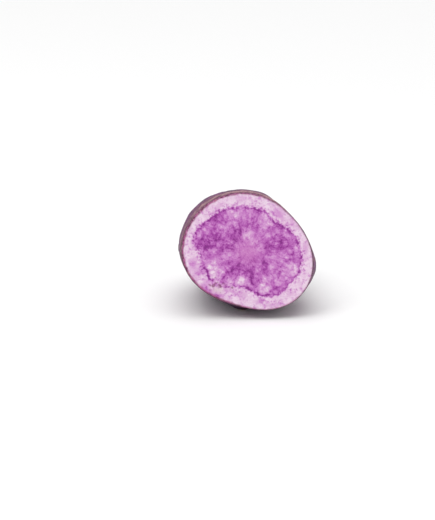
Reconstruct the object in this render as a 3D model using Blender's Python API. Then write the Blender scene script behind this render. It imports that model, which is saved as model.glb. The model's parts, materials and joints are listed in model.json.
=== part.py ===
"""Half of a purple potato, cut across and lying on its skin with the cut face up and forward.

The tuber grew as one piece, so it is one solid: a blunt oval body with gentle lumps, eyes sunk in a spiral
with a brow behind each, the flat face that the knife left, and the small flat spot that it rests on.

The form is worked out in the tuber's own frame: u runs along its axis, from the cut face at 0 to the bud end,
x points right and w points up the cut face. The frame is then tilted back and set down, so that the origin is
the middle of the rest spot, +Z is up and the cut face looks towards -Y.
"""

import math

import bmesh
import bpy
import numpy as np
from mathutils import Vector, noise

NODE = "potato_half"
MM = 0.001

# The body's length, its widest place along the axis and the cut face's mean radius
LENGTH = 60.0 * MM
WIDEST_AT = 16.0 * MM
FACE_RADIUS = 26.9 * MM

# The long outline is a superellipse: higher powers are a squarer, blunter body
SIDE_POWER = 2.5
END_POWER = 2.4

# The section is an oval with a little of a rounded triangle in it, seen from the cut face. Behind the cut the
# oval turns level and grows flatter, and the triangle fades out.
OVAL_AT_CUT = 0.092
OVAL_BEHIND = 0.115
OVAL_TURN = math.radians(-25.1)
TRIANGLE = 0.033
TRIANGLE_TURN = math.radians(-40.4)
SETTLES_FROM = 26.0 * MM
SETTLES_AT = 52.0 * MM

# Long low forms run back from the cut, each with its direction and reach round the body in degrees, its length and
# its height: the side sinks in behind the face's flattest side, up on the right, and swells out low on the right,
# and the underside is fuller to the left than to the right, so that the weight stands over the rest spot
SIDE_FORMS = (
    (35.0, 34.0, 44.0 * MM, -2.2 * MM),
    (-15.0, 12.0, 30.0 * MM, 1.9 * MM),
    (-115.0, 28.0, 58.0 * MM, 1.6 * MM),
    (-58.0, 28.0, 58.0 * MM, -2.0 * MM),
)

# The body bends towards the bud end, which stands higher and further left than the cut face's middle
RISE_W = 4.0 * MM
LEAN_X = -1.2 * MM
BEND_POWER = 3.0

# Gentle lumps with smaller ones on them, which fade out towards the cut
LUMP_HEIGHT = 2.2 * MM
LUMP_SIZE = 21.0 * MM
LUMP_PLACE = Vector((4.4, 4.1, 7.3))
SMALL_LUMP_SHARE = 0.22
SMALL_LUMPS_FINER = 2.7
LUMPS_FULL_AT = 30.0 * MM

# Eyes follow the growth spiral from the cut towards the bud end, where they crowd together and get smaller. Each
# is a shallow hollow with a low brow on its cut side, which bends round it by BROW_BEND per metre of width squared.
EYE_COUNT = 10
FIRST_EYE_AT = 14.0 * MM
LAST_EYE_AT = 58.5 * MM
EYE_CROWDING = 0.75
FIRST_EYE_TURN = math.radians(265.0)
GOLDEN_TURN = math.radians(137.5)
EYE_DEPTH = 1.1 * MM
EYE_REACH_ALONG = 3.0 * MM
EYE_REACH_SIDE = 4.4 * MM
BROW_HEIGHT = 0.25 * MM
BROW_BACK = 4.2 * MM
BROW_WIDTH = 2.0 * MM
BROW_REACH = 5.0 * MM
BROW_BEND = 60.0
SMALLEST_EYE = 0.65
EYE_EDGE = 18.0 * MM

# How the half lies: its axis slopes down to the bud end, and the weight stands over the rest spot
TILT = math.radians(12.0)
REST_X = -0.9 * MM
REST_Y = 26.2 * MM
REST_Z = -29.28 * MM

# Mesh fineness: rings from the cut to the bud end, points round each ring, and points measured along the outline
RINGS = 44
SEGMENTS = 96
OUTLINE_POINTS = 2000

# Steps along and round the skin for working out its normal
STEP = 0.05 * MM
TURN_STEP = 0.01

SKIN_COLOUR = (0.085, 0.032, 0.075, 1.0)
SKIN_ROUGHNESS = 0.55
FLESH_COLOUR = (0.55, 0.20, 0.52, 1.0)
FLESH_ROUGHNESS = 0.4


def long_outline(u):
    """The body's radius at u as a share of its widest radius."""
    along = np.abs(u - WIDEST_AT) / (LENGTH - WIDEST_AT)
    return np.maximum(1.0 - along**SIDE_POWER, 0.0) ** (1.0 / END_POWER)


def smooth_step(value, start, end):
    """Rises from 0 at start to 1 at end, level at both."""
    share = np.clip((value - start) / (end - start), 0.0, 1.0)
    return share * share * (3.0 - 2.0 * share)


def section_share(u, angle):
    """The section's radius at an angle as a share of its mean radius."""
    settled = smooth_step(u, SETTLES_FROM, SETTLES_AT)
    oval = OVAL_AT_CUT + (OVAL_BEHIND - OVAL_AT_CUT) * settled
    turn = OVAL_TURN * (1.0 - settled)
    triangle = TRIANGLE * (1.0 - settled)
    return 1.0 + oval * np.cos(2.0 * (angle - turn)) + triangle * np.cos(3.0 * (angle - TRIANGLE_TURN))


def side_height(u, angle):
    """Height of the long forms that run back from the cut."""
    height = 0.0
    for direction, reach, length, rise in SIDE_FORMS:
        along = np.sin(math.pi * np.clip(u / length, 0.0, 1.0)) ** 2
        away = (np.degrees(angle) - direction + 180.0) % 360.0 - 180.0
        height = height + rise * along * np.exp(-((away / reach) ** 2))
    return height


def smooth_point(u, angle):
    """Points (x, u, w) of the smooth body, before its lumps and eyes. u and angle may be arrays."""
    u, angle = np.broadcast_arrays(np.asarray(u, float), np.asarray(angle, float))
    widest = FACE_RADIUS / long_outline(0.0)
    radius = widest * long_outline(u) * section_share(u, angle) + side_height(u, angle)
    bend = (u / LENGTH) ** BEND_POWER
    x = radius * np.cos(angle) + LEAN_X * bend
    w = radius * np.sin(angle) + RISE_W * bend
    return np.stack([x, u, w], axis=-1)


def unit(vectors):
    return vectors / np.linalg.norm(vectors, axis=-1, keepdims=True)


def surface_frame(u, angle):
    """The smooth body's outward normal, the way to the bud end along the skin, and the way round it."""
    inner = np.minimum(u, LENGTH - STEP)
    along = unit(smooth_point(inner, angle) - smooth_point(inner - STEP, angle))
    around = unit(smooth_point(inner, angle + TURN_STEP) - smooth_point(inner, angle - TURN_STEP))
    normal = unit(np.cross(around, along))
    return normal, along, around


def ring_stations(count):
    """Places u from the cut face to just short of the bud end's pole, evenly spaced along the skin."""
    u = LENGTH * np.sin(np.linspace(0.0, math.pi / 2, OUTLINE_POINTS))
    radius = FACE_RADIUS * long_outline(u)
    skin_length = np.concatenate([[0.0], np.cumsum(np.hypot(np.diff(u), np.diff(radius)))])
    return np.interp(np.linspace(0.0, skin_length[-1], count + 1)[:-1], skin_length, u)


def eyes():
    """Each eye's place, directions and size, along the growth spiral."""
    found = []
    for number in range(EYE_COUNT):
        share = (number / (EYE_COUNT - 1)) ** EYE_CROWDING
        u = FIRST_EYE_AT + (LAST_EYE_AT - FIRST_EYE_AT) * share
        angle = FIRST_EYE_TURN + number * GOLDEN_TURN
        normal, along, around = surface_frame(u, angle)
        size = 1.0 - (1.0 - SMALLEST_EYE) * share
        found.append((smooth_point(u, angle), along, around, size))
    return found


def lump_relief(points):
    """Height of the lumps at each point."""
    heights = []
    for point in points:
        place = Vector(point) / LUMP_SIZE + LUMP_PLACE
        heights.append(noise.noise(place) + SMALL_LUMP_SHARE * noise.noise(place * SMALL_LUMPS_FINER))
    rise = np.clip(points[:, 1] / LUMPS_FULL_AT, 0.0, 1.0)
    return LUMP_HEIGHT * rise * np.array(heights)


def eye_relief(points):
    """Depth of the eyes' hollows and height of the brows behind them at each point."""
    relief = np.zeros(len(points))
    for place, along, around, size in eyes():
        offset = (points - place) / size
        a = offset @ along
        b = offset @ around
        near = np.linalg.norm(offset, axis=1) < EYE_EDGE
        hollow = np.exp(-((a / EYE_REACH_ALONG) ** 2) - (b / EYE_REACH_SIDE) ** 2)
        brow_line = -BROW_BACK + BROW_BEND * b**2
        brow = np.exp(-(((a - brow_line) / BROW_WIDTH) ** 2) - (b / BROW_REACH) ** 2)
        relief += near * size * (BROW_HEIGHT * brow - EYE_DEPTH * hollow)
    return relief


def grown_points(u, angle):
    """Points of the real skin: the smooth body, moved along its normals by its lumps and eyes."""
    smooth = smooth_point(u, angle)
    normal = surface_frame(u, angle)[0]
    flat = smooth.reshape(-1, 3)
    relief = (lump_relief(flat) + eye_relief(flat)).reshape(smooth.shape[:-1])
    moved = smooth + normal * relief[..., None]
    moved[..., 1] = np.where(u <= 0.0, 0.0, moved[..., 1])
    return moved


def set_down(points):
    """Tilts points of the tuber's own frame back, stands them on the rest spot and flattens it."""
    x, u, w = np.moveaxis(points, -1, 0)
    y = u * math.cos(TILT) + w * math.sin(TILT)
    z = w * math.cos(TILT) - u * math.sin(TILT)
    return np.stack([x - REST_X, y - REST_Y, np.maximum(z - REST_Z, 0.0)], axis=-1)


def material(name, colour, roughness):
    made = bpy.data.materials.new(name)
    made.use_nodes = True
    shader = made.node_tree.nodes["Principled BSDF"]
    shader.inputs["Base Color"].default_value = colour
    shader.inputs["Roughness"].default_value = roughness
    shader.inputs["Metallic"].default_value = 0.0
    return made


def add_ring(mesh, points):
    return [mesh.verts.new(point) for point in points]


def join_rings(mesh, near, far):
    """A band of four-sided faces between two rings, facing out."""
    for i in range(SEGMENTS):
        after = (i + 1) % SEGMENTS
        mesh.faces.new((near[i], near[after], far[after], far[i]))


def close_with_fan(mesh, ring, middle, faces_out_ahead):
    """Triangles from a ring to one point in its middle. The bud end's fan faces ahead, and the cut's back."""
    made = []
    for i in range(SEGMENTS):
        after = (i + 1) % SEGMENTS
        pair = (ring[i], ring[after]) if faces_out_ahead else (ring[after], ring[i])
        made.append(mesh.faces.new((*pair, middle)))
    return made


def potato_half():
    """The whole solid, with its skin and its cut face."""
    angles = np.linspace(0.0, 2 * math.pi, SEGMENTS, endpoint=False)
    u, angle = np.meshgrid(ring_stations(RINGS), angles, indexing="ij")
    skin = set_down(grown_points(u, angle))
    pole = set_down(grown_points(np.array([LENGTH]), np.array([0.0])))[0]
    face_middle = set_down(np.zeros(3))

    mesh = bmesh.new()
    rings = [add_ring(mesh, points) for points in skin]
    for near, far in zip(rings, rings[1:]):
        join_rings(mesh, near, far)
    close_with_fan(mesh, rings[-1], mesh.verts.new(pole), faces_out_ahead=True)
    for face in mesh.faces:
        face.smooth = True
    for face in close_with_fan(mesh, rings[0], mesh.verts.new(face_middle), faces_out_ahead=False):
        face.material_index = 1
    bmesh.ops.recalc_face_normals(mesh, faces=mesh.faces)

    data = bpy.data.meshes.new(NODE)
    mesh.to_mesh(data)
    mesh.free()
    data.materials.append(material("potato_skin", SKIN_COLOUR, SKIN_ROUGHNESS))
    data.materials.append(material("potato_flesh", FLESH_COLOUR, FLESH_ROUGHNESS))
    half = bpy.data.objects.new(NODE, data)
    bpy.context.scene.collection.objects.link(half)
    return half


for old in list(bpy.data.objects):
    bpy.data.objects.remove(old, do_unlink=True)
potato_half()
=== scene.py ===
# The finished look of half a purple potato, cut across and lying on its skin.
#
# One closed mesh carries the whole surface. Its skin has lumps, eyes, corky specks and a dried band by the
# cut. Its cut face has a skin line, a pale outer layer, a dotted ring of vessels and marbled flesh that
# streaks outwards.

import json
import math

import bpy
import numpy as np
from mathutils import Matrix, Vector, noise


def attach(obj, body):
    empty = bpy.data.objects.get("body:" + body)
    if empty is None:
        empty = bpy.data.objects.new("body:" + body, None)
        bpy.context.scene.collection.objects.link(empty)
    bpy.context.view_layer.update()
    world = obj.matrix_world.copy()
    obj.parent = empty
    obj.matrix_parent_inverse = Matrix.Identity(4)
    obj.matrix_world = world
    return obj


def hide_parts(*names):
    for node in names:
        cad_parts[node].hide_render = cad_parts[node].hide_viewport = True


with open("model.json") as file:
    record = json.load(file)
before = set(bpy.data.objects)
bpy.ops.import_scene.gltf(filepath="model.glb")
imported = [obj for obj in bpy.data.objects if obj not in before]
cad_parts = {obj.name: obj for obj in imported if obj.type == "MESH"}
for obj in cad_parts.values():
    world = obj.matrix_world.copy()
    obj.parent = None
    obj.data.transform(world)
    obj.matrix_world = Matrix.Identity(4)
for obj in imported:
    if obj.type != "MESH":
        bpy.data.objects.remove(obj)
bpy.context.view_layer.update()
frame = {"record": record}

NODE = "potato_half"
MM = 0.001

# The body's length, its widest place along the axis and the cut face's mean radius
LENGTH = 60.0 * MM
WIDEST_AT = 16.0 * MM
FACE_RADIUS = 26.9 * MM

# The long outline is a superellipse: higher powers are a squarer, blunter body
SIDE_POWER = 2.5
END_POWER = 2.4

# The section is an oval with a little of a rounded triangle in it, seen from the cut face. Behind the cut the
# oval turns level and grows flatter, and the triangle fades out.
OVAL_AT_CUT = 0.092
OVAL_BEHIND = 0.115
OVAL_TURN = math.radians(-25.1)
TRIANGLE = 0.033
TRIANGLE_TURN = math.radians(-40.4)
SETTLES_FROM = 26.0 * MM
SETTLES_AT = 52.0 * MM

# Long low forms run back from the cut, each with its direction and reach round the body in degrees, its
# length and its height: the side sinks in behind the face's flattest side, up on the right, and swells out
# low on the right, and the underside is fuller to the left than to the right, so that the weight stands over
# the rest spot
SIDE_FORMS = (
    (35.0, 34.0, 44.0 * MM, -2.2 * MM),
    (-15.0, 12.0, 30.0 * MM, 1.9 * MM),
    (-115.0, 28.0, 58.0 * MM, 1.6 * MM),
    (-58.0, 28.0, 58.0 * MM, -2.0 * MM),
)

# The body bends towards the bud end, which stands higher and further left than the cut face's middle
RISE_W = 4.0 * MM
LEAN_X = -1.2 * MM
BEND_POWER = 3.0

# Gentle lumps with smaller ones on them, which fade out towards the cut
LUMP_HEIGHT = 2.2 * MM
LUMP_SIZE = 21.0 * MM
LUMP_PLACE = Vector((4.4, 4.1, 7.3))
SMALL_LUMP_SHARE = 0.22
SMALL_LUMPS_FINER = 2.7
LUMPS_FULL_AT = 30.0 * MM

# Eyes follow the growth spiral from the cut towards the bud end, where they crowd together and get smaller.
# Each is a shallow hollow with a low brow on its cut side, which bends round it by BROW_BEND per metre of
# width squared.
EYE_COUNT = 10
FIRST_EYE_AT = 14.0 * MM
LAST_EYE_AT = 58.5 * MM
EYE_CROWDING = 0.75
FIRST_EYE_TURN = math.radians(265.0)
GOLDEN_TURN = math.radians(137.5)
EYE_DEPTH = 1.1 * MM
EYE_REACH_ALONG = 3.0 * MM
EYE_REACH_SIDE = 4.4 * MM
BROW_HEIGHT = 0.25 * MM
BROW_BACK = 4.2 * MM
BROW_WIDTH = 2.0 * MM
BROW_REACH = 5.0 * MM
BROW_BEND = 60.0
SMALLEST_EYE = 0.65
EYE_EDGE = 18.0 * MM

# Steps along and round the skin for working out its normal
STEP = 0.05 * MM
TURN_STEP = 0.01
OUTLINE_POINTS = 2000

# A bud sits in each eye, in a small pit
BUD_HEIGHT = 0.55 * MM
BUD_SIZE = 0.9 * MM
PIT_DEPTH = 0.35 * MM
PIT_SIZE = 1.9 * MM

# Height and size of the skin's wrinkles, and over how many sizes they fade out at the cut
WRINKLES = ((0.16 * MM, 4.2 * MM), (0.07 * MM, 1.7 * MM))
WRINKLES_FADE = 2.0

# Raised corky specks, scattered between two shares of the length. Higher powers bring them nearer to the cut,
# make more of them small, and make their edges steeper.
CORK_COUNT = 130
CORK_SEED = 7
CORK_SPREAD = (0.04, 0.995)
CORK_SPREAD_POWER = 0.8
CORK_SIZES = (0.28 * MM, 0.95 * MM)
CORK_SIZE_POWER = 3
CORK_EDGE_POWER = 4
CORK_HEIGHT = 0.16 * MM

# The skin has dried in a band along the cut: its mean width, and how much wider it is in the direction given
DRIED_MEAN = 8.0 * MM
DRIED_SWING = 6.0 * MM
DRIED_TURN = math.radians(135.0)

# The knife rounds the edge of the cut a little and leaves gentle waves on the face, given as height and size.
# The ring of vessels sinks a little, and all of this relief fades out towards the edge.
EDGE_IN = 0.10 * MM
EDGE_BACK = 0.12 * MM
FACE_WAVES = ((0.16 * MM, 11.0 * MM), (0.05 * MM, 3.0 * MM), (0.03 * MM, 1.0 * MM))
RING_SINKS = 0.07 * MM
RING_SINK_REACH = 0.8 * MM
FACE_RELIEF_FULL_AT = 2.0 * MM

# The mesh: points round, rings along the skin and across the face, extra rings beside the edge, and the place
# of the flesh in its list of materials, after the skin
SEGMENTS = 360
SKIN_RINGS = 176
FACE_RINGS = 84
EDGE_RINGS = (0.1 * MM, 0.22 * MM)
FLESH_SLOT = 1

# From here on the face's pattern is in millimetres: x to the right and w up, from the middle of the face.
# Depth of the ring of vessels under the skin, by direction in degrees
RING_DEPTHS = (
    (-180, 7.6), (-160, 7.4), (-141, 5.5), (-128, 4.8), (-114, 7.4), (-92, 8.8), (-76, 6.6), (-56, 6.0),
    (-36, 6.8), (-20, 5.3), (0, 4.9), (15, 4.0), (30, 4.6), (50, 6.7), (72, 5.6), (90, 6.1), (122, 5.6),
    (140, 5.4), (158, 4.2), (168, 4.7), (180, 7.6),
)

# Patches of the inner flesh that are darker or paler: x, w, half length, half width, turn in degrees, change
PATCHES = (
    (-13.2, 15.2, 4.4, 2.1, 33, 0.3),
    (-19.2, 11.6, 2.2, 1.1, 48, 0.18),
    (-14.6, 5.8, 6.0, 3.2, -6, 0.24),
    (-20.0, 2.6, 2.8, 2.2, 0, 0.26),
    (-8.6, 6.4, 2.6, 2.8, 0, 0.22),
    (-9.9, 1.4, 2.4, 2.0, 0, 0.22),
    (-4.2, 9.2, 1.7, 1.5, 0, 0.42),
    (-7.2, 12.4, 3.0, 0.9, -52, 0.22),
    (-0.8, 19.2, 4.6, 0.6, -2, 0.3),
    (-3.4, 15.9, 4.8, 1.8, 0, -0.3),
    (4.5, 18.2, 1.9, 1.1, -15, 0.32),
    (0.9, 12.6, 3.6, 1.9, 0, 0.24),
    (3.2, 15.2, 2.4, 1.1, 80, 0.2),
    (12.4, 12.2, 3.2, 2.2, -30, 0.17),
    (17.8, 10.0, 3.0, 1.7, -42, 0.36),
    (15.4, 4.9, 3.6, 2.3, 0, 0.18),
    (21.6, 5.6, 2.6, 0.9, -65, 0.24),
    (22.8, -4.0, 3.8, 1.4, 95, 0.38),
    (19.4, -1.2, 2.6, 1.6, 0, 0.22),
    (9.6, 1.4, 2.8, 1.3, 8, 0.3),
    (7.4, -5.0, 2.8, 1.4, 95, 0.3),
    (2.4, -6.3, 2.4, 2.4, 0, 0.22),
    (-3.0, -5.6, 3.5, 2.0, 0, 0.22),
    (-7.3, -8.2, 3.2, 1.4, 12, 0.34),
    (-10.9, -11.0, 2.2, 1.0, 62, 0.4),
    (-0.2, -9.2, 3.8, 1.8, -20, 0.3),
    (1.3, -13.6, 3.6, 2.0, 100, 0.22),
    (3.9, -12.4, 1.3, 1.2, 0, 0.26),
    (4.0, -18.4, 3.0, 1.5, -12, 0.4),
    (13.4, -15.6, 3.4, 2.2, 30, 0.26),
    (9.2, -19.3, 3.2, 0.7, 4, 0.3),
    (17.4, -13.2, 2.3, 0.9, 60, 0.3),
    (13.0, -8.6, 2.0, 1.3, 0, 0.2),
    (1.3, 7.5, 4.2, 2.4, 82, -0.24),
    (7.4, 13.4, 3.8, 2.8, 58, -0.4),
    (11.2, 16.6, 2.8, 2.2, -35, -0.34),
    (5.8, 6.0, 2.4, 2.0, 0, -0.2),
    (-6.0, 16.6, 2.5, 2.0, 60, -0.28),
    (-10.6, 11.0, 1.9, 1.2, -30, -0.16),
    (-18.3, 8.9, 2.4, 1.4, 20, -0.14),
    (-15.9, -4.2, 4.0, 3.0, -15, -0.26),
    (-14.2, -9.0, 3.2, 3.0, 40, -0.3),
    (-8.0, -0.6, 2.7, 1.7, 15, -0.24),
    (-8.1, -12.6, 2.6, 1.9, 50, -0.44),
    (-3.4, -12.8, 2.6, 2.1, -40, -0.38),
    (7.4, -11.8, 3.0, 1.8, 0, -0.28),
    (7.4, -16.0, 2.8, 1.7, 10, -0.4),
    (15.2, -12.0, 2.6, 2.2, 60, -0.42),
    (10.9, -6.2, 3.2, 1.5, 95, -0.28),
    (19.0, -8.4, 2.4, 2.1, 40, -0.4),
    (12.0, -2.2, 3.8, 1.0, 6, -0.16),
    (12.4, 8.0, 2.4, 1.4, 20, -0.14),
    (0.4, 1.2, 4.6, 2.6, 0, -0.12),
    (-17.4, -9.7, 4.4, 0.5, -62, 0.4),
)

# Lilac places in the pale layer round it, in the same terms
OUTER_PATCHES = (
    (13.4, 17.2, 3.6, 1.8, -42, 0.24),
    (19.6, 12.6, 2.6, 1.2, -50, 0.12),
    (-2.6, 23.2, 2.4, 1.6, 0, 0.12),
    (-12.0, 20.6, 2.0, 1.0, 30, 0.12),
    (-23.4, 4.0, 1.4, 3.0, 0, 0.14),
    (-24.0, -4.6, 1.8, 3.2, 10, 0.2),
    (-21.2, -8.4, 2.8, 2.0, 40, 0.26),
    (-17.4, -13.6, 2.6, 1.8, -45, 0.16),
    (-13.4, -19.0, 3.0, 1.6, -35, 0.22),
    (-4.0, -18.4, 3.4, 1.4, -8, 0.16),
    (5.4, -21.4, 1.2, 1.0, 0, 0.3),
    (-8.4, -16.6, 3.0, 0.8, -6, 0.2),
    (-17.4, -9.7, 4.4, 0.5, -62, 0.55),
    (-18.2, -16.2, 3.2, 1.1, -45, 0.42),
    (-12.7, -19.1, 1.4, 0.8, 0, 0.3),
    (25.4, 1.6, 1.0, 3.0, 0, 0.12),
    (18.6, -18.4, 2.0, 1.2, 40, 0.1),
    (12.0, -23.2, 3.0, 1.0, 6, 0.12),
)

# Pigment of the inner flesh and of the pale layer before their patches, from 0 for none to 1 for the darkest
INNER_PIGMENT = 0.57
OUTER_PIGMENT = 0.035

# How strongly the patches show, and how steep their edges are
INNER_PATCHES_SHOW = 0.86
OUTER_PATCHES_SHOW = 1.25
PATCH_EDGE_POWER = 1.3

# Layers of smooth noise, each with its strength, size and place. They cloud the flesh, make the line's
# width uneven and outlines ragged, though less so for the ring and the stain's dark places.
CLOUDS = ((1.0, 3.4, (1.0, 7.0, 3.0)), (0.6, 1.5, (8.0, 2.0, 5.0)))
RAGGED_X = ((1.1, 2.2, (3.0, 3.0, 1.0)), (0.5, 0.9, (4.0, 1.0, 6.0)))
RAGGED_W = ((1.1, 2.2, (9.0, 5.0, 2.0)), (0.5, 0.9, (2.0, 6.0, 4.0)))
LINE_UNEVEN = ((0.5, 2.2, (7.0, 7.0, 7.0)),)
INNER_CLOUDS_SHOW = 0.13
OUTER_CLOUDS_SHOW = 0.08
SMALLER_RAGGED = 0.7

# Wide rays out from the pith: how fine they are round the face and along themselves, their noise's place, and
# where they start and are full. Then the pith's own reach.
WIDE_RAYS_FINE = (4.5, 4.5, 0.11)
WIDE_RAYS_PLACE = (5.0, 2.0, 4.0)
WIDE_RAYS_RISE = (1.5, 7.0)
WIDE_RAYS_SHOW = 0.15
PITH_REACH = 5.5

# The magenta line under the skin: its width, and its strength round the face, which is greatest on the left
LINE_WIDTH = 1.0
LINE_MEAN = 0.74
LINE_SWING = 0.26
LINE_TURN = math.radians(165.0)

# Small dark vessels stand along the ring: how many, their sizes and strengths, and how far they stray round
# it and in depth
VESSEL_COUNT = 96
VESSEL_SEED = 11
VESSEL_SIZES = (0.26, 0.5)
VESSEL_STRENGTHS = (0.25, 1.0)
VESSEL_TURN_STRAY = 0.03
VESSEL_DEPTH_STRAY = 0.35

# A small pale brown stain low on the left: x, w and its reach, and its dark places in the patches' terms
STAIN = (-13.7, -16.2, 2.8, 1.7)
STAIN_PATCHES = (
    (-14.9, -14.2, 1.1, 0.6, 50, 1.0),
    (-12.3, -14.6, 1.0, 0.7, 100, 1.0),
    (-16.7, -14.3, 0.9, 0.6, -30, 0.8),
    (-14.5, -11.2, 0.6, 0.5, 0, 0.7),
    (-10.6, -13.7, 1.2, 0.4, -15, 0.7),
    (-8.8, -15.0, 1.9, 0.3, -12, 0.5),
    (-6.9, -15.5, 0.6, 0.6, 0, 0.9),
    (-13.6, -13.2, 1.2, 0.4, 20, 0.6),
    (-16.9, -16.6, 0.7, 0.5, 80, 0.6),
    (-12.0, -17.6, 0.6, 0.4, 0, 0.5),
    (-12.6, -19.1, 1.0, 0.5, 10, 0.5),
)


def linear(red, green, blue):
    """A colour given as screen values from 0 to 255, as the shader takes it."""
    shares = [value / 255.0 for value in (red, green, blue)]
    return (*[s / 12.92 if s <= 0.04045 else ((s + 0.055) / 1.055) ** 2.4 for s in shares], 1.0)


# From here on are the looks. A pattern of noise is its size, detail, roughness and distortion. A warp is the
# size of its noise and how far it pushes. A coat is where it starts and is full by its pattern, how much it
# covers, and its colour. Names that end in EDGE or AT are where a share is 0 and where it is 1.
WARP_DETAIL = 2.0
DOT_EDGE = (0.45, 0.15)
DOT_SHARE_BLUR = 0.1

# Marbled flesh inside the ring: its grain, noise, rays as turns, length and amount, blobs, and specks as the
# size of their cells and the share that has one
FLESH_GRAIN = (0.6 * MM, 3.0, 0.65, 0.0)
INNER_GRAIN = 0.84
INNER_NOISE = (
    ((1.4 * MM, 3.0, 0.65, 0.7), 0.6),
    ((3.0 * MM, 3.0, 0.6, 0.0), 0.3),
)
RAY_NOISE = (1.0, 2.0, 0.6, 0.0)
RAYS = ((11.0, 6.0, 0.46), (26.0, 4.0, 0.4))
BLOB_SIZE = 2.3 * MM
BLOB_WARP = (1.6 * MM, 1.6 * MM)
BLOB_EDGE = (0.1, 0.8)
BLOB_MEAN = 0.55
BLOBS_SHOW = 0.34
AWAY_EDGE = (1.1, 0.2)
DEEP_EDGE = (0.35, 0.85)
INNER_SPECKS = (0.62 * MM, 0.5)
INNER_SPECKS_SHOW = 0.34

# The pale layer round it
OUTER_GRAIN = 0.34
OUTER_MOTTLING = (2.0 * MM, 4.0, 0.7, 0.0)
MOTTLED_AT = (0.48, 0.7)
MOTTLING_SHOWS = 0.34
NEAR_EDGE = (-3.4, 0.2)
WISPS = (1.0 * MM, 3.0, 0.7, 0.0)
WISP_EDGE = (0.48, 0.72)
WISPS_SHOW = 0.5
OUTER_SPECKS = (0.9 * MM, 0.35)
SPECKED_AT = (0.45, 0.62)
OUTER_SPECKS_SHOW = 0.26

# The ring of vessels between them and the flesh behind it, by the distance inwards in millimetres. A band is
# where it starts, is full, fades and ends.
RING_NOISE = (((1.1 * MM, 2.0, 0.5, 0.0), 1.7), ((0.45 * MM, 2.0, 0.5, 0.0), 1.5))
INSIDE_EDGE = (-0.3, 0.5)
RING_BAND = (-0.9, 0.1, 0.3, 1.3)
RING_DOTS = (0.85 * MM, 0.65)
RING_DOTS_SHOW = 0.34
RING_GAPS = (1.7 * MM, 2.0, 0.5, 0.0)
RING_GAP_EDGE = (0.4, 0.62)
RING_LINE_SHOWS = 0.26
BEHIND_BAND = (0.5, 1.3, 1.6, 3.8)
BEHIND_RING_CHANGE = -0.13
VESSELS_SHOW = 0.55

# Colours of the flesh by its pigment, of the pith, of the stain, and of the skin's line at the edge
FLESH_TONES = (
    (0.0, linear(240, 216, 235)),
    (0.12, linear(227, 188, 221)),
    (0.34, linear(213, 150, 209)),
    (0.56, linear(198, 118, 195)),
    (0.76, linear(180, 87, 178)),
    (0.92, linear(160, 58, 158)),
    (1.0, linear(136, 40, 136)),
)
PITH_PINK = linear(208, 126, 188)
PITH_SHOWS = 0.34
STAIN_PALE = linear(216, 192, 200)
STAIN_EDGE = (0.25, 0.55)
STAIN_SHOWS = 0.75
STAIN_DARK = (0.2, 0.8, 0.75, linear(134, 66, 108))
STAIN_DARK_GRAIN = 1.5
EDGE_CLOUDS = (1.5 * MM, 3.0, 0.5, 0.0)
CLOUD_EDGE = (0.38, 0.62)
LINE_TONES = (linear(112, 36, 84), linear(174, 84, 140))
LINE_EDGE = (0.05, 0.8)
LINE_AT = (0.12, 0.5)
FLECKS = (1.3 * MM, 3.0, 0.5, 0.0)
FLECKED_AT = (0.45, 0.8)
FLECK_EDGE = (0.6, 0.68)
FLECKS_SHOW = 0.6
FLECK_TAN = linear(206, 150, 140)

# Gloss and fine relief of the flesh
FLESH_ROUGHNESS = 0.52
WET_PLACES = (2.2 * MM, 2.0, 0.5, 0.0)
WET_EDGE = (0.3, 0.7)
WET_CHANGE = -0.12
FLESH_FINE = (0.32 * MM, 2.0, 0.5, 0.0)
FLESH_FINE_HEIGHT = 0.03 * MM
FLESH_BUMPS = (1.4 * MM, 2.0, 0.5, 0.0)
FLESH_BUMP_HEIGHT = 0.05 * MM

# The violet skin: its two main tones, the clouds over them, from the first to the last, and its fine mottling
SKIN_TONES = (linear(78, 46, 84), linear(110, 44, 102))
SKIN_HUE = (15.0 * MM, 2.0, 0.5, 0.0)
SKIN_CLOUDS = (
    ((8.0 * MM, 3.0, 0.6, 0.0), (0.5, 0.72, 0.5, linear(154, 66, 146))),
    ((11.0 * MM, 4.0, 0.65, 0.4), (0.47, 0.66, 0.8, linear(42, 20, 38))),
    ((6.0 * MM, 3.0, 0.7, 0.0), (0.56, 0.74, 0.45, linear(88, 50, 62))),
)
MOTTLE = (1.0 * MM, 4.0, 0.7, 0.0)
PALE_MOTTLE = (0.5, 0.75, 0.5, linear(148, 96, 140))
DARK_MOTTLE = (0.5, 0.26, 0.65, linear(38, 15, 38))

# The net of tan lines on it
NET_SIZE = 1.3 * MM
NET_WARP = (0.9 * MM, 0.9 * MM)
NET_EDGE = (0.1, 0.02)
NET_AT = (0.42, 0.58)
NET_ZONES = (7.0 * MM, 4.0, 0.65, 0.0)
NET_ZONE_EDGE = (0.47, 0.64)
NET_TAN = linear(180, 138, 140)
NET_SHOWS = 0.7

# Its dusty specks, with their reach and edge as shares of a cell
DUST_SIZE = 0.8 * MM
DUST_WARP = (0.5 * MM, 0.45 * MM)
DUST_CROWDS = (6.0 * MM, 3.0, 0.5, 0.0)
DUST_CROWD_EDGE = (0.35, 0.7)
DUST_CROWDING = 0.45
DUST_AT = (0.68, 1.15)
DUST_REACH = 0.3
DUST_EDGE = (-0.08, 0.08)
DUST_HUE = (3.0 * MM, 2.0, 0.5, 0.0)
DUST_TONES = (linear(164, 118, 156), linear(198, 158, 150))
DUST_SHOWS = 0.8

# Patches of brown scurf and of tan crust, which has a dark surround
CRUST_NOISE = (6.5 * MM, 5.0, 0.72, 0.3)
SKIN_PATCHES = (
    ((4.0 * MM, 5.0, 0.8, 0.0), (0.6, 0.7, 0.55, linear(116, 82, 76))),
    (CRUST_NOISE, (0.6, 0.68, 0.6, linear(54, 30, 40))),
    (CRUST_NOISE, (0.69, 0.73, 0.85, linear(176, 122, 94))),
)

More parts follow.
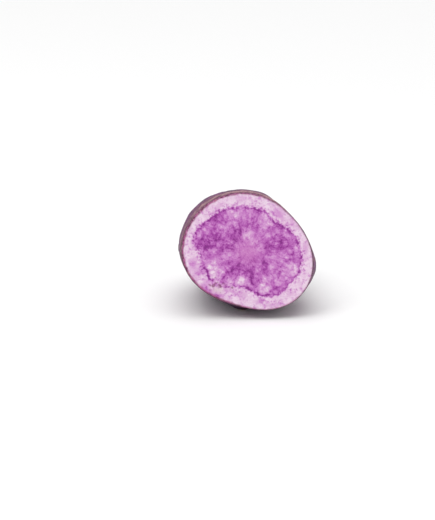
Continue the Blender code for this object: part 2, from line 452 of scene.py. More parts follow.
# Colours of the corky specks and of the eyes
RAGGED = (0.7 * MM, 3.0, 0.65, 0.0)
CORK_RAGGED = 1.9
CORK_SURROUND = (0.0, 0.4, 0.5, linear(44, 24, 34))
CORK_EDGE = (0.4, 0.62)
CORK_BITS = (0.8 * MM, 2.0, 0.5, 0.0)
CORK_HUE = (5.0 * MM, 2.0, 0.5, 0.0)
CORK_HUE_SWING = 0.6
CORK_BIT_EDGE = (0.38, 0.64)
CORK_TONES = (linear(142, 94, 78), linear(204, 166, 138))
EYE_HOLLOW = (0.02, 0.4, 0.6, linear(54, 32, 48))
EYE_BITS = (0.9 * MM, 3.0, 0.6, 0.0)
EYE_BIT_EDGE = (0.44, 0.56)
EYE_TONES = (linear(62, 34, 38), linear(182, 134, 100))
BUD_RAGGED = 1.1
BUD_EDGE = (0.35, 0.65)
BUD_SHOWS = 0.85

# The dried band: its ragged edge, its waves, fine lines and long streaks, in millimetres, each with the share
# at which distances round the tuber count and its amount, its mean tone, partly raised as painted sheen,
# where and how much paler it is painted high up, which is painted sheen from above, and its colours
DRIED_NOISE = (7.0 * MM, 4.0, 0.6, 0.0)
DRIED_RAGGED = 1.5
DRIED_EDGE = (1.1, 0.4)
DRIED_AT = (0.15, 0.6)
DRIED_PATTERNS = (
    ((1.4, 4.0, 0.62, 0.7), 0.42, 1.0),
    ((0.55, 3.0, 0.75, 0.0), 0.22, 0.6),
    ((4.2, 3.0, 0.6, 0.5), 0.3, 0.45),
)
DRIED_TONE = 0.53
# Painted sheen: the band's tone is lifted on the tuber's upper side, as light from above would show it
PAINTED_SHEEN_AT = (40.0 * MM, 52.0 * MM)
PAINTED_SHEEN_UP_HIGH = 0.09
DRIED_TONES = (
    (0.34, linear(72, 41, 62)),
    (0.48, linear(106, 67, 92)),
    (0.58, linear(152, 111, 127)),
    (0.72, linear(196, 158, 156)),
)

# The skin's dark rim beside the cut, by the distance back from it in millimetres
RIM_EDGE = (1.1, 0.1)
RIM_SHOWS = 0.7
RIM_TONES = (linear(74, 32, 58), linear(132, 66, 100))

# Gloss and fine relief of the skin
SKIN_ROUGHNESS = 0.36
MOTTLE_ROUGHER = 0.3
DRIED_ROUGHER = 0.35
SKIN_FINE = (0.4 * MM, 4.0, 0.7, 0.0)
SKIN_FINE_HEIGHT = 0.06 * MM
SKIN_BIT_HEIGHT = 0.09 * MM
RAISED_AT = (0.35, 0.7)
DRIED_HEIGHT = 0.22 * MM
MOTTLE_HEIGHT = 0.12 * MM

# The camera: its place in degrees and metres, its lens and sensor in millimetres, how near it sees, and how
# far left of and below the face's middle it aims
CAMERA_ELEVATION = 16.5
CAMERA_AZIMUTH = -1.5
CAMERA_DISTANCE = 0.632
CAMERA_LENS = 100.0
CAMERA_SENSOR = 36.0
CAMERA_CLIP_START = 0.01
AIM_LEFT = 13.3 * MM
AIM_DOWN = 3.3 * MM

# The floor, the light from all round, and the lamps: name, place, width and height in metres, and watts
FLOOR_SIZE = 6.0
FLOOR_COLOUR = (0.97, 0.97, 0.97, 1.0)
FLOOR_ROUGHNESS = 0.8
WORLD_STRENGTH = 0.56
OVERHEAD_STRENGTH = 1.35
OVERHEAD_ANGLE = math.radians(60.0)
LIGHTS = (
    ("key", (-0.55, -0.45, 0.95), 0.5, 0.5, 2.4),
    ("fill", (0.7, -0.6, 0.45), 0.6, 0.6, 0.3),
)

# Where the stated pieces of the frame are: the face's middle, its outward normal and the way up it
MOUNTS = {mount["name"]: mount for mount in frame["record"]["mounts"]}
FACE_MIDDLE = np.array(MOUNTS["cut_face"]["pos_m"])
FACE_OUT = np.array(MOUNTS["cut_face"]["axis"])
RIGHT = np.array((1.0, 0.0, 0.0))
UP_FACE = np.cross(RIGHT, -FACE_OUT)


# The body's form, as in the solid part
def long_outline(u):
    """The body's radius at u as a share of its widest radius."""
    along = np.abs(u - WIDEST_AT) / (LENGTH - WIDEST_AT)
    return np.maximum(1.0 - along**SIDE_POWER, 0.0) ** (1.0 / END_POWER)


def smooth_step(value, start, end):
    """Rises from 0 at start to 1 at end, level at both."""
    share = np.clip((value - start) / (end - start), 0.0, 1.0)
    return share * share * (3.0 - 2.0 * share)


def section_share(u, angle):
    """The section's radius at an angle as a share of its mean radius."""
    settled = smooth_step(u, SETTLES_FROM, SETTLES_AT)
    oval = OVAL_AT_CUT + (OVAL_BEHIND - OVAL_AT_CUT) * settled
    turn = OVAL_TURN * (1.0 - settled)
    triangle = TRIANGLE * (1.0 - settled)
    return 1.0 + oval * np.cos(2.0 * (angle - turn)) + triangle * np.cos(3.0 * (angle - TRIANGLE_TURN))


def side_height(u, angle):
    """Height of the long forms that run back from the cut."""
    height = 0.0
    for direction, reach, length, rise in SIDE_FORMS:
        along = np.sin(math.pi * np.clip(u / length, 0.0, 1.0)) ** 2
        away = (np.degrees(angle) - direction + 180.0) % 360.0 - 180.0
        height = height + rise * along * np.exp(-((away / reach) ** 2))
    return height


def smooth_point(u, angle):
    """Points (x, u, w) of the smooth body, before its lumps and eyes. u and angle may be arrays."""
    u, angle = np.broadcast_arrays(np.asarray(u, float), np.asarray(angle, float))
    widest = FACE_RADIUS / long_outline(0.0)
    radius = widest * long_outline(u) * section_share(u, angle) + side_height(u, angle)
    bend = (u / LENGTH) ** BEND_POWER
    x = radius * np.cos(angle) + LEAN_X * bend
    w = radius * np.sin(angle) + RISE_W * bend
    return np.stack([x, u, w], axis=-1)


def unit(vectors):
    return vectors / np.linalg.norm(vectors, axis=-1, keepdims=True)


def surface_frame(u, angle):
    """The smooth body's outward normal, the way to the bud end along the skin, and the way round it."""
    inner = np.minimum(u, LENGTH - STEP)
    along = unit(smooth_point(inner, angle) - smooth_point(inner - STEP, angle))
    around = unit(smooth_point(inner, angle + TURN_STEP) - smooth_point(inner, angle - TURN_STEP))
    normal = unit(np.cross(around, along))
    return normal, along, around


def ring_stations(count):
    """Places u from the cut face to just short of the bud end's pole, evenly spaced along the skin."""
    u = LENGTH * np.sin(np.linspace(0.0, math.pi / 2, OUTLINE_POINTS))
    radius = FACE_RADIUS * long_outline(u)
    skin_length = np.concatenate([[0.0], np.cumsum(np.hypot(np.diff(u), np.diff(radius)))])
    return np.interp(np.linspace(0.0, skin_length[-1], count + 1)[:-1], skin_length, u)


def eyes():
    """Each eye's place, directions and size, along the growth spiral."""
    found = []
    for number in range(EYE_COUNT):
        share = (number / (EYE_COUNT - 1)) ** EYE_CROWDING
        u = FIRST_EYE_AT + (LAST_EYE_AT - FIRST_EYE_AT) * share
        angle = FIRST_EYE_TURN + number * GOLDEN_TURN
        normal, along, around = surface_frame(u, angle)
        size = 1.0 - (1.0 - SMALLEST_EYE) * share
        found.append((smooth_point(u, angle), along, around, size))
    return found


def noise_at(points, size, place=(0.0, 0.0, 0.0)):
    """Smooth noise between about -1 and 1 at each point, with features of that size."""
    start = Vector(place)
    return np.array([noise.noise(Vector(point) + start) for point in points / size])


def lump_relief(points):
    """Height of the lumps at each point."""
    large = noise_at(points, LUMP_SIZE, LUMP_PLACE)
    small = noise_at(points, LUMP_SIZE / SMALL_LUMPS_FINER, LUMP_PLACE * SMALL_LUMPS_FINER)
    rise = np.clip(points[:, 1] / LUMPS_FULL_AT, 0.0, 1.0)
    return LUMP_HEIGHT * rise * (large + SMALL_LUMP_SHARE * small)


# The skin's finer relief, and what its colours follow
def eye_relief(points):
    """Height of the eyes' hollows, brows, pits and buds at each point, and its nearness to an eye."""
    relief = np.zeros(len(points))
    nearness = np.zeros(len(points))
    for place, along, around, size in eyes():
        offset = (points - place) / size
        a = offset @ along
        b = offset @ around
        away = np.linalg.norm(offset, axis=1)
        hollow = np.exp(-((a / EYE_REACH_ALONG) ** 2) - (b / EYE_REACH_SIDE) ** 2)
        brow_line = -BROW_BACK + BROW_BEND * b**2
        brow = np.exp(-(((a - brow_line) / BROW_WIDTH) ** 2) - (b / BROW_REACH) ** 2)
        pit = np.exp(-((away / PIT_SIZE) ** 2))
        bud = np.exp(-((away / BUD_SIZE) ** 2))
        height = BROW_HEIGHT * brow - EYE_DEPTH * hollow - PIT_DEPTH * pit + BUD_HEIGHT * bud
        relief += (away < EYE_EDGE) * size * height
        nearness = np.maximum(nearness, pit)
    return relief, nearness


def cork_relief(points):
    """Share of a corky speck's full height at each point. The specks are scattered by a seeded draw."""
    draw = np.random.default_rng(CORK_SEED)
    u = LENGTH * draw.uniform(*CORK_SPREAD, CORK_COUNT) ** CORK_SPREAD_POWER
    angle = draw.uniform(0.0, 2.0 * math.pi, CORK_COUNT)
    size_share = draw.uniform(0.0, 1.0, CORK_COUNT) ** CORK_SIZE_POWER
    sizes = CORK_SIZES[0] + (CORK_SIZES[1] - CORK_SIZES[0]) * size_share
    share = np.zeros(len(points))
    for place, size in zip(smooth_point(u, angle), sizes):
        away = np.linalg.norm(points - place, axis=1)
        share = np.maximum(share, np.exp(-((away / size) ** CORK_EDGE_POWER)))
    return share


def skin_surface(u, angle):
    """Points of the skin in the tuber's own frame, and the values that its colours follow."""
    smooth = smooth_point(u, angle)
    normal = surface_frame(u, angle)[0]
    flat = smooth.reshape(-1, 3)
    eye_height, eye = eye_relief(flat)
    cork = cork_relief(flat)
    relief = lump_relief(flat) + eye_height + CORK_HEIGHT * cork
    for height, size in WRINKLES:
        relief += height * noise_at(flat, size) * smooth_step(flat[:, 1], 0.0, WRINKLES_FADE * size)
    moved = flat + normal.reshape(-1, 3) * relief[:, None]
    dried_reach = (DRIED_MEAN + DRIED_SWING * np.cos(np.asarray(angle, float).ravel() - DRIED_TURN)) / MM
    return moved, {"eye": eye, "cork": cork, "back": flat[:, 1] / MM, "dried_reach": dried_reach}


# The cut face's relief and pattern, in millimetres
def ring_depth(angle):
    """Depth of the ring of vessels under the skin at each angle in radians."""
    degrees = (np.degrees(angle) + 180.0) % 360.0 - 180.0
    directions, depths = zip(*RING_DEPTHS)
    return np.interp(degrees, directions, depths)


def patch_change(patches, x, w):
    """How much the patches darken or pale the flesh at each point."""
    change = np.zeros(len(x))
    for patch_x, patch_w, half_length, half_width, turn, amount in patches:
        cos, sin = math.cos(math.radians(turn)), math.sin(math.radians(turn))
        a = ((x - patch_x) * cos + (w - patch_w) * sin) / half_length
        b = ((w - patch_w) * cos - (x - patch_x) * sin) / half_width
        change += amount * np.exp(-(a**2 + b**2) ** PATCH_EDGE_POWER)
    return change


def vessels(x, w):
    """Share of a vessel's full darkness at each point. They are scattered along the ring by a seeded draw."""
    draw = np.random.default_rng(VESSEL_SEED)
    angle = np.linspace(0.0, 2.0 * math.pi, VESSEL_COUNT, endpoint=False)
    angle = angle + draw.normal(0.0, VESSEL_TURN_STRAY, VESSEL_COUNT)
    depth = ring_depth(angle) + draw.normal(0.0, VESSEL_DEPTH_STRAY, VESSEL_COUNT)
    radius = FACE_RADIUS / MM * section_share(0.0, angle) - depth
    sizes = draw.uniform(*VESSEL_SIZES, VESSEL_COUNT)
    strengths = draw.uniform(*VESSEL_STRENGTHS, VESSEL_COUNT)
    dark = np.zeros(len(x))
    for turn, out, size, strength in zip(angle, radius, sizes, strengths):
        away = np.hypot(x - out * math.cos(turn), w - out * math.sin(turn))
        dark = np.maximum(dark, strength * np.exp(-((away / size) ** 2)))
    return dark


def layered(points, layers):
    """Sum of layers of smooth noise at each point."""
    return sum(strength * noise_at(points, size, place) for strength, size, place in layers)


def line_share(points, depth, angle):
    """Share of the line under the skin at each point."""
    strength = LINE_MEAN + LINE_SWING * np.cos(angle - LINE_TURN)
    width = LINE_WIDTH * strength * (1.0 + layered(points, LINE_UNEVEN))
    return strength * np.exp(-((depth / width) ** 2))


def face_pattern(x, w, depth, angle):
    """What the flesh's colours follow at each point of the face. Distances are in millimetres."""
    points = np.stack([x, w, np.zeros(len(x))], axis=-1)
    clouds = layered(points, CLOUDS)
    ragged_x = layered(points, RAGGED_X)
    ragged_w = layered(points, RAGGED_W)
    moved_x = x + ragged_x
    moved_w = w + ragged_w
    radius = np.hypot(x, w)
    turn = np.stack([np.cos(angle), np.sin(angle), radius], axis=-1)
    wide_rays = noise_at(turn * WIDE_RAYS_FINE, 1.0, WIDE_RAYS_PLACE) * smooth_step(radius, *WIDE_RAYS_RISE)
    inner = INNER_PIGMENT + INNER_PATCHES_SHOW * patch_change(PATCHES, moved_x, moved_w)
    outer = OUTER_PIGMENT + OUTER_PATCHES_SHOW * patch_change(OUTER_PATCHES, moved_x, moved_w)
    stain_x, stain_w, reach_x, reach_w = STAIN
    dark_x = x + SMALLER_RAGGED * ragged_x
    dark_w = w + SMALLER_RAGGED * ragged_w
    return {
        "pigment": inner + INNER_CLOUDS_SHOW * clouds + WIDE_RAYS_SHOW * wide_rays,
        "outer": outer + OUTER_CLOUDS_SHOW * clouds,
        "inward": depth - ring_depth(angle) + SMALLER_RAGGED * ragged_x,
        "pink": np.exp(-((radius / PITH_REACH) ** 2)),
        "line": line_share(points, depth, angle),
        "stain": np.exp(-(((moved_x - stain_x) / reach_x) ** 2) - ((moved_w - stain_w) / reach_w) ** 2),
        "stain_dark": patch_change(STAIN_PATCHES, dark_x, dark_w),
        "vessels": vessels(x, w),
        "turn": turn,
    }


def face_surface(rim, angle):
    """Rings of points from the rim to near the face's middle, and the values that its colours follow."""
    rim_radius = np.hypot(rim[:, 0], rim[:, 2])
    even = np.linspace(1.0, 0.0, FACE_RINGS + 1)[1:-1]
    shares = np.concatenate([[1.0 - edge / FACE_RADIUS for edge in EDGE_RINGS], even])
    share, turn = np.meshgrid(shares, angle, indexing="ij")
    radius = share * rim_radius
    x = (radius * np.cos(turn)).ravel()
    w = (radius * np.sin(turn)).ravel()
    depth = ((1.0 - share) * rim_radius).ravel()
    values = face_pattern(x / MM, w / MM, depth / MM, turn.ravel())
    points = np.stack([x, np.zeros(len(x)), w], axis=-1)
    height = sum(rise * noise_at(points, size) for rise, size in FACE_WAVES)
    from_ring = depth - ring_depth(turn.ravel()) * MM
    height -= RING_SINKS * np.exp(-((from_ring / RING_SINK_REACH) ** 2))
    height *= smooth_step(depth, 0.0, FACE_RELIEF_FULL_AT)
    points[:, 1] = -height
    return points, values, len(shares)


# Building the mesh
def to_world(points):
    """Points of the tuber's own frame in the part's frame, flattened where they rest."""
    x, u, w = points[:, 0:1], points[:, 1:2], points[:, 2:3]
    placed = FACE_MIDDLE + x * RIGHT - u * FACE_OUT + w * UP_FACE
    placed[:, 2] = np.maximum(placed[:, 2], 0.0)
    return placed


def ring_faces(first, ring_count):
    """Four-sided faces between rings of SEGMENTS points that follow each other, as point numbers."""
    faces = []
    for ring in range(ring_count - 1):
        near = first + ring * SEGMENTS
        far = near + SEGMENTS
        for i in range(SEGMENTS):
            after = (i + 1) % SEGMENTS
            faces.append((near + i, near + after, far + after, far + i))
    return faces


def fan_faces(ring_start, middle):
    """Triangles from a ring to one point."""
    return [(ring_start + i, ring_start + (i + 1) % SEGMENTS, middle) for i in range(SEGMENTS)]


def potato_mesh():
    """The closed mesh, its skin first and its face after, with a value on each point for the materials."""
    angle = np.linspace(0.0, 2.0 * math.pi, SEGMENTS, endpoint=False)
    stations = ring_stations(SKIN_RINGS)
    stations = np.concatenate([[0.0], EDGE_RINGS, stations[1:]])
    u, turn = np.meshgrid(stations, angle, indexing="ij")
    skin, skin_values = skin_surface(u, turn)
    rim = skin[:SEGMENTS]
    outwards = unit(rim * (1.0, 0.0, 1.0))
    rim -= outwards * EDGE_IN
    rim[:, 1] = EDGE_BACK
    pole, pole_values = skin_surface(np.array([LENGTH]), np.array([0.0]))
    face, face_values, face_ring_count = face_surface(rim, angle)
    middle = face[-1:] * (0.0, 1.0, 0.0)
    middle_values = {name: numbers[-1:] for name, numbers in face_values.items()}

    points = np.concatenate([skin, pole, face, middle])
    pole_at = len(skin)
    face_at = pole_at + 1
    middle_at = face_at + len(face)
    skin_faces = ring_faces(0, len(stations))
    skin_faces += fan_faces(pole_at - SEGMENTS, pole_at)
    flesh_faces = [corners[::-1] for corners in fan_faces(middle_at - SEGMENTS, middle_at)]
    flesh_faces += [corners[::-1] for corners in ring_faces(face_at, face_ring_count)]
    for i in range(SEGMENTS):
        after = (i + 1) % SEGMENTS
        flesh_faces.append((after, i, face_at + i, face_at + after)[::-1])

    data = bpy.data.meshes.new("purple_potato_half")
    data.from_pydata([tuple(point) for point in to_world(points)], [], skin_faces + flesh_faces)
    add_values(data, skin_values, pole_values, 0)
    add_values(data, face_values, middle_values, face_at)
    materials = np.zeros(len(data.polygons), dtype=np.int32)
    materials[len(skin_faces):] = FLESH_SLOT
    data.polygons.foreach_set("material_index", materials)
    data.polygons.foreach_set("use_smooth", np.ones(len(data.polygons), dtype=bool))
    data.update()
    return data


def add_values(data, values, last_values, first):
    """Stores values on the mesh's points, from number first on. Points that they don't reach get 0."""
    for name, numbers in values.items():
        numbers = np.concatenate([numbers, last_values[name]])
        whole = np.zeros((len(data.vertices), *numbers.shape[1:]))
        whole[first : first + len(numbers)] = numbers
        kind, part = ("FLOAT_VECTOR", "vector") if numbers.ndim > 1 else ("FLOAT", "value")
        data.attributes.new(name, kind, "POINT").data.foreach_set(part, whole.ravel())


# Materials
class Shading:
    """A material's node tree, with short calls for the nodes used here."""

    def __init__(self, name):
        self.material = bpy.data.materials.new(name)
        self.material.use_nodes = True
        self.tree = self.material.node_tree
        self.shader = self.tree.nodes["Principled BSDF"]
        self.place = self.node("ShaderNodeTexCoord").outputs["Object"]

    def node(self, kind, inputs=(), **settings):
        """Makes a node with its settings, and joins or sets its inputs, given as (input, value) pairs."""
        made = self.tree.nodes.new(kind)
        for name, value in settings.items():
            setattr(made, name, value)
        for key, value in inputs:
            self.put(made.inputs[key], value)
        return made

    def put(self, socket, value):
        if isinstance(value, bpy.types.NodeSocket):
            self.tree.links.new(value, socket)
        else:
            socket.default_value = value

    def made_with(self, values):
        """The material, with the shader's own inputs joined or set by name."""
        for name, value in values.items():
            self.put(self.shader.inputs[name], value)
        return self.material

    def value(self, name):
        """A value stored on the mesh's points."""
        return self.node("ShaderNodeAttribute", attribute_name=name).outputs["Fac"]

    def math(self, operation, a, b=0.0):
        return self.node("ShaderNodeMath", [(0, a), (1, b)], operation=operation).outputs[0]

    def plus(self, first, *others):
        for other in others:
            first = self.math("ADD", first, other)
        return first

    def times(self, first, *others):
        for other in others:
            first = self.math("MULTIPLY", first, other)
        return first

    def vectors(self, operation, first, second):
        return self.node("ShaderNodeVectorMath", [(0, first), (1, second)], operation=operation).outputs[0]

    def noise(self, pattern, vector=None):
        """Noise from 0 to 1."""
        size, detail, roughness, distortion = pattern
        inputs = [("Vector", vector or self.place), ("Scale", 1.0 / size), ("Detail", detail)]
        inputs += [("Roughness", roughness), ("Distortion", distortion)]
        return self.node("ShaderNodeTexNoise", inputs).outputs[0]

    def swing(self, value, amount):
        """A 0 to 1 pattern as a change from minus half the amount to plus half."""
        return self.times(self.math("SUBTRACT", value, 0.5), amount)

    def step(self, value, start, end):
        """Rises smoothly from 0 at start to 1 at end. It falls if start is the higher."""
        inputs = [("Value", value), ("From Min", start), ("From Max", end)]
        return self.node("ShaderNodeMapRange", inputs, interpolation_type="SMOOTHSTEP").outputs["Result"]

    def band(self, value, start, full, fades, end):
        """Rises from 0 at start to 1 at full, and falls again between fades and end."""
        return self.times(self.step(value, start, full), self.step(value, end, fades))

    def mix(self, share, first, second):
        """Blends two colours."""
        mixed = self.node("ShaderNodeMix", [(0, share), (6, first), (7, second)], data_type="RGBA")
        return mixed.outputs[2]

    def coat(self, under, value, coat):
        """Lays a coat over a colour, where a value says."""
        start, full, covers, colour = coat
        return self.mix(self.times(self.step(value, start, full), covers), under, colour)

    def ramp(self, value, stops):
        """Colours by value: stops are (place, colour) pairs from low to high."""
        made = self.node("ShaderNodeValToRGB", [("Fac", value)])
        elements = made.color_ramp.elements
        elements[0].position, elements[0].color = stops[0]
        elements[1].position, elements[1].color = stops[-1]
        for position, colour in stops[1:-1]:
            elements.new(position).color = colour
        return made.outputs["Color"]

    def bump(self, height, distance, normal=None):
        """Bends the normal by a height from 0 to 1, which stands for that distance in metres."""
        made = self.node("ShaderNodeBump", [("Height", height), ("Distance", distance)])
        if normal is not None:
            self.put(made.inputs["Normal"], normal)
        return made.outputs["Normal"]

    def cells(self, size, feature="F1", vector=None):
        """The outputs of a pattern of cells of that size in metres."""
        inputs = [("Vector", vector or self.place), ("Scale", 1.0 / size)]
        return self.node("ShaderNodeTexVoronoi", inputs, feature=feature).outputs

    def draw(self, cells):
        """Each cell's own draw from 0 to 1."""
        return self.node("ShaderNodeSeparateColor", [("Color", cells["Color"])]).outputs[0]


def warped(look, size, amount):
    """The texture place, pushed about by noise of that size, so that a pattern on it isn't regular."""
    inputs = [("Vector", look.place), ("Scale", 1.0 / size), ("Detail", WARP_DETAIL)]
    colour = look.node("ShaderNodeTexNoise", inputs).outputs["Color"]
    centred = look.vectors("SUBTRACT", colour, (0.5, 0.5, 0.5))
    return look.vectors("ADD", look.place, look.vectors("MULTIPLY", centred, (amount, amount, amount)))


def drawn_round(look, back, share):
    """A place in millimetres for noise. Distances round the tuber count at that share, which draws it out."""
    apart = look.node("ShaderNodeSeparateXYZ", [(0, look.place)])
    across = look.times(apart.outputs["X"], share / MM)
    up = look.times(apart.outputs["Z"], share / MM)
    return look.node("ShaderNodeCombineXYZ", [(0, across), (1, back), (2, up)]).outputs[0]


def rays(look, turns, length):
    """Noise drawn out along the ways from the middle to the skin. More turns make narrower rays."""
    turn = look.node("ShaderNodeAttribute", attribute_name="turn").outputs["Vector"]
    return look.noise(RAY_NOISE, look.vectors("MULTIPLY", turn, (turns, turns, 1.0 / length)))


def dots(look, size, share):
    """Scattered round dots on cells of that size. The share is how many cells have one."""
    cells = look.cells(size)
    chosen = look.step(look.draw(cells), 1.0 - share - DOT_SHARE_BLUR, 1.0 - share + DOT_SHARE_BLUR)
    return look.times(look.step(cells["Distance"], *DOT_EDGE), chosen)


def inner_pigment(look, grain):
    """Pigment of the marbled flesh inside the ring of vessels."""
    blobs = look.cells(BLOB_SIZE, vector=warped(look, *BLOB_WARP))["Distance"]
    blobs = look.math("SUBTRACT", look.step(blobs, *BLOB_EDGE), BLOB_MEAN)
    away = look.step(look.value("pink"), *AWAY_EDGE)
    pigment = look.plus(
        look.value("pigment"),
        look.swing(grain, INNER_GRAIN),
        look.times(blobs, away, BLOBS_SHOW),
        *[look.swing(look.noise(pattern), amount) for pattern, amount in INNER_NOISE],
        *[look.swing(rays(look, turns, length), amount) for turns, length, amount in RAYS],
    )
    deep = look.step(pigment, *DEEP_EDGE)
    return look.plus(pigment, look.times(dots(look, *INNER_SPECKS), deep, INNER_SPECKS_SHOW))


def outer_pigment(look, grain, inward):
    """Pigment of the pale layer: lilac mottling, and wisps and specks that come out of the ring."""
    mottling = look.noise(OUTER_MOTTLING)
    wisps = look.times(look.step(inward, *NEAR_EDGE), look.step(look.noise(WISPS), *WISP_EDGE))
    specks = look.times(dots(look, *OUTER_SPECKS), look.step(mottling, *SPECKED_AT))
    return look.plus(
        look.value("outer"),
        look.times(look.step(mottling, *MOTTLED_AT), MOTTLING_SHOWS),
        look.times(wisps, WISPS_SHOW),
        look.times(specks, OUTER_SPECKS_SHOW),
        look.swing(grain, OUTER_GRAIN),
    )


def flesh_pigment(look, grain):
    """Pigment all over the face: the pale layer, the marbled flesh and the ring of vessels between them."""
    ragged = [look.swing(look.noise(pattern), amount) for pattern, amount in RING_NOISE]
    inward = look.plus(look.value("inward"), *ragged)
    inside = look.step(inward, *INSIDE_EDGE)
    outer = outer_pigment(look, grain, inward)
    inner = inner_pigment(look, grain)
    pigment = look.node("ShaderNodeMix", [(0, inside), (2, outer), (3, inner)]).outputs[0]
    ring = look.band(inward, *RING_BAND)
    line = look.times(ring, look.step(look.noise(RING_GAPS), *RING_GAP_EDGE))
    behind = look.band(inward, *BEHIND_BAND)
    return look.plus(
        pigment,
        look.times(ring, dots(look, *RING_DOTS), RING_DOTS_SHOW),
        look.times(line, RING_LINE_SHOWS),
        look.times(behind, BEHIND_RING_CHANGE),
        look.times(look.value("vessels"), VESSELS_SHOW),
    )


def stained(look, flesh, grain):
    """Lays the small pale brown stain and its dark places over the flesh."""
    pale = look.times(look.value("stain"), look.step(grain, *STAIN_EDGE), STAIN_SHOWS)
    flesh = look.mix(pale, flesh, STAIN_PALE)
    dark = look.plus(look.value("stain_dark"), look.swing(grain, STAIN_DARK_GRAIN))
    return look.coat(flesh, dark, STAIN_DARK)


def edged(look, flesh, grain):
    """Lays the skin's line over the flesh along the edge of the face, with a few tan flecks."""
    edge = look.value("line")
    tone = look.mix(look.step(look.noise(EDGE_CLOUDS), *CLOUD_EDGE), *LINE_TONES)
    flesh = look.mix(look.times(look.step(edge, *LINE_EDGE), look.step(grain, *LINE_AT)), flesh, tone)
    flecks = look.times(look.step(edge, *FLECKED_AT), look.step(look.noise(FLECKS), *FLECK_EDGE), FLECKS_SHOW)
    return look.mix(flecks, flesh, FLECK_TAN)


def flesh_material():
    """Marbled flesh: coloured by its pigment, with a pink pith, a dotted ring and a line at the edge."""
    look = Shading("potato_flesh")
    grain = look.noise(FLESH_GRAIN)
    flesh = look.ramp(flesh_pigment(look, grain), FLESH_TONES)
    flesh = look.mix(look.times(look.value("pink"), PITH_SHOWS), flesh, PITH_PINK)
    flesh = edged(look, stained(look, flesh, grain), grain)
    wet = look.step(look.noise(WET_PLACES), *WET_EDGE)
    fine = look.bump(look.noise(FLESH_FINE), FLESH_FINE_HEIGHT)
    return look.made_with({
        "Base Color": flesh,
        "Roughness": look.plus(look.times(wet, WET_CHANGE), FLESH_ROUGHNESS),
        "Normal": look.bump(look.noise(FLESH_BUMPS), FLESH_BUMP_HEIGHT, fine),
        "Subsurface Weight": 0.12,
        "Subsurface Radius": (1.0, 0.5, 0.9),
        "Subsurface Scale": 0.7 * MM,
        "Specular IOR Level": 0.35,
    })


def skin_ground(look, mottle):
    """The violet skin itself: bluish and magenta clouds, dark places and fine mottling."""
    skin = look.mix(look.step(look.noise(SKIN_HUE), *CLOUD_EDGE), *SKIN_TONES)
    for pattern, coat in SKIN_CLOUDS:
        skin = look.coat(skin, look.noise(pattern), coat)
    skin = look.coat(skin, mottle, PALE_MOTTLE)
    return look.coat(skin, mottle, DARK_MOTTLE)


def skin_net(look, mottle):
    """Share of the broken net of fine tan lines, which comes in clusters."""
    distance = look.cells(NET_SIZE, "DISTANCE_TO_EDGE", warped(look, *NET_WARP))["Distance"]
    lines = look.times(look.step(distance, *NET_EDGE), look.step(mottle, *NET_AT))
    return look.times(lines, look.step(look.noise(NET_ZONES), *NET_ZONE_EDGE))


def skin_dust(look):
    """Share of the pale dusty specks, which are small, uneven and thicker in some places than in others."""
    cells = look.cells(DUST_SIZE, vector=warped(look, *DUST_WARP))
    crowd = look.step(look.noise(DUST_CROWDS), *DUST_CROWD_EDGE)
    chosen = look.step(look.plus(look.draw(cells), look.times(crowd, DUST_CROWDING)), *DUST_AT)
    reach = look.times(chosen, DUST_REACH)
    return look.step(look.math("SUBTRACT", reach, cells["Distance"]), *DUST_EDGE)


def corked(look, skin, cork):
    """Lays the corky specks over the skin, brown and tan, each in a dark surround."""
    skin = look.coat(skin, cork, CORK_SURROUND)
    bits = look.plus(look.noise(CORK_BITS), look.swing(look.noise(CORK_HUE), CORK_HUE_SWING))
    tone = look.mix(look.step(bits, *CORK_BIT_EDGE), *CORK_TONES)
    return look.mix(look.step(cork, *CORK_EDGE), skin, tone)


def eyed(look, skin, ragged):
    """Lays the eyes over the skin: a dark hollow with a brown and tan bud."""
    eye = look.value("eye")
    skin = look.coat(skin, eye, EYE_HOLLOW)
    tone = look.mix(look.step(look.noise(EYE_BITS), *EYE_BIT_EDGE), *EYE_TONES)
    bud = look.step(look.plus(eye, look.swing(ragged, BUD_RAGGED)), *BUD_EDGE)
    return look.mix(look.times(bud, BUD_SHOWS), skin, tone)


def dried_share(look, back):
    """Share of the dried band along the cut, with a ragged edge towards the bud end."""
    reach = look.math("DIVIDE", back, look.value("dried_reach"))
    reach = look.plus(reach, look.swing(look.noise(DRIED_NOISE), DRIED_RAGGED))
    return look.step(reach, *DRIED_EDGE)


def dried_lines_and_painted_sheen(look, back):
    """The dried band's pattern: lines drawn out along the cut, made paler on the tuber's upper side as
    painted sheen.
    """
    height = look.node("ShaderNodeSeparateXYZ", [(0, look.place)]).outputs["Z"]
    # Painted sheen from above: the tone rises with height on the tuber's upper side
    tone = look.plus(look.times(look.step(height, *PAINTED_SHEEN_AT), PAINTED_SHEEN_UP_HIGH), DRIED_TONE)
    for pattern, share, amount in DRIED_PATTERNS:
        tone = look.plus(tone, look.swing(look.noise(pattern, drawn_round(look, back, share)), amount))
    return tone


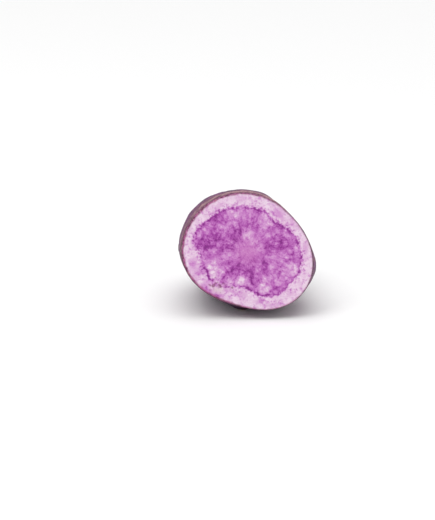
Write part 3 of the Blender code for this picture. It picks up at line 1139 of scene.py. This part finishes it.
def skin_material():
    """Thin violet skin with dust, net, cork specks and eyes, and a dried lined band along the cut."""
    look = Shading("potato_skin")
    mottle = look.noise(MOTTLE)
    ragged = look.noise(RAGGED)
    net = skin_net(look, mottle)
    dust = skin_dust(look)
    cork = look.plus(look.value("cork"), look.swing(ragged, CORK_RAGGED))
    skin = look.mix(look.times(net, NET_SHOWS), skin_ground(look, mottle), NET_TAN)
    skin = look.mix(look.times(dust, DUST_SHOWS), skin, look.mix(look.noise(DUST_HUE), *DUST_TONES))
    for pattern, coat in SKIN_PATCHES:
        skin = look.coat(skin, look.noise(pattern), coat)
    skin = eyed(look, corked(look, skin, cork), ragged)

    back = look.value("back")
    dried = dried_share(look, back)
    # This tone holds the band's scurfy lines and the sheen painted on its upper side
    scurf_and_painted_sheen = dried_lines_and_painted_sheen(look, back)
    dried_tone = look.ramp(scurf_and_painted_sheen, DRIED_TONES)
    skin = look.mix(look.times(dried, look.step(mottle, *DRIED_AT)), skin, dried_tone)
    rim_tone = look.mix(look.step(look.noise(EDGE_CLOUDS), *CLOUD_EDGE), *RIM_TONES)
    skin = look.mix(look.times(look.step(back, *RIM_EDGE), RIM_SHOWS), skin, rim_tone)

    rough = look.plus(look.times(mottle, MOTTLE_ROUGHER), SKIN_ROUGHNESS, look.times(dried, DRIED_ROUGHER))
    rough_bits = look.plus(net, dust, look.step(cork, *RAISED_AT))
    normal = look.bump(look.noise(SKIN_FINE), SKIN_FINE_HEIGHT)
    normal = look.bump(rough_bits, SKIN_BIT_HEIGHT, normal)
    normal = look.bump(look.times(scurf_and_painted_sheen, dried), DRIED_HEIGHT, normal)
    return look.made_with({
        "Base Color": skin,
        "Roughness": rough,
        "Normal": look.bump(mottle, MOTTLE_HEIGHT, normal),
        "Specular IOR Level": 0.2,
        "Sheen Weight": 0.02,
        "Sheen Roughness": 0.45,
        "Sheen Tint": (1.0, 0.82, 0.82, 1.0),
    })


def floor_material():
    look = Shading("floor_white")
    return look.made_with({"Base Color": FLOOR_COLOUR, "Roughness": FLOOR_ROUGHNESS})


# The floor, the lights and the camera
def aimed(made, place, target):
    """Puts a lamp or camera at a place, looking at a target, and adds it to the scene."""
    made.location = place
    made.rotation_euler = (Vector(target) - Vector(place)).to_track_quat("-Z", "Y").to_euler()
    bpy.context.scene.collection.objects.link(made)
    return made


def add_floor():
    half = FLOOR_SIZE / 2
    corners = [(-half, -half, 0.0), (half, -half, 0.0), (half, half, 0.0), (-half, half, 0.0)]
    data = bpy.data.meshes.new("floor")
    data.from_pydata(corners, [], [(0, 1, 2, 3)])
    data.materials.append(floor_material())
    floor = bpy.data.objects.new("floor", data)
    bpy.context.scene.collection.objects.link(floor)


def add_light(name, place, width, height, power):
    data = bpy.data.lights.new(name, "AREA")
    data.shape = "RECTANGLE"
    data.size = width
    data.size_y = height
    data.energy = power
    aimed(bpy.data.objects.new(name, data), place, FACE_MIDDLE)


def add_overhead():
    """Broad even light from straight above, as from a studio ceiling."""
    data = bpy.data.lights.new("overhead", "SUN")
    data.energy = OVERHEAD_STRENGTH
    data.angle = OVERHEAD_ANGLE
    bpy.context.scene.collection.objects.link(bpy.data.objects.new("overhead", data))


def add_world():
    world = bpy.data.worlds.new("studio")
    world.use_nodes = True
    background = world.node_tree.nodes["Background"]
    background.inputs["Color"].default_value = (1.0, 1.0, 1.0, 1.0)
    background.inputs["Strength"].default_value = WORLD_STRENGTH
    bpy.context.scene.world = world
    bpy.context.scene.view_settings.view_transform = "Standard"


def add_camera():
    """The camera looks a little down on the face, whose middle is right of and above its aim."""
    rise = math.radians(CAMERA_ELEVATION)
    turn = math.radians(CAMERA_AZIMUTH)
    back = Vector((math.sin(turn) * math.cos(rise), -math.cos(turn) * math.cos(rise), math.sin(rise)))
    right = Vector((math.cos(turn), math.sin(turn), 0.0))
    up = back.cross(right)
    aim = Vector(FACE_MIDDLE) - right * AIM_LEFT - up * AIM_DOWN
    data = bpy.data.cameras.new("camera")
    data.lens = CAMERA_LENS
    data.sensor_width = CAMERA_SENSOR
    data.clip_start = CAMERA_CLIP_START
    camera = aimed(bpy.data.objects.new("camera", data), aim + back * CAMERA_DISTANCE, aim)
    bpy.context.scene.camera = camera


data = potato_mesh()
data.materials.append(skin_material())
data.materials.append(flesh_material())
potato = bpy.data.objects.new("purple_potato_half", data)
bpy.context.scene.collection.objects.link(potato)
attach(potato, "root")
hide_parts(NODE)

add_floor()
add_world()
add_overhead()
for light in LIGHTS:
    add_light(*light)
add_camera()
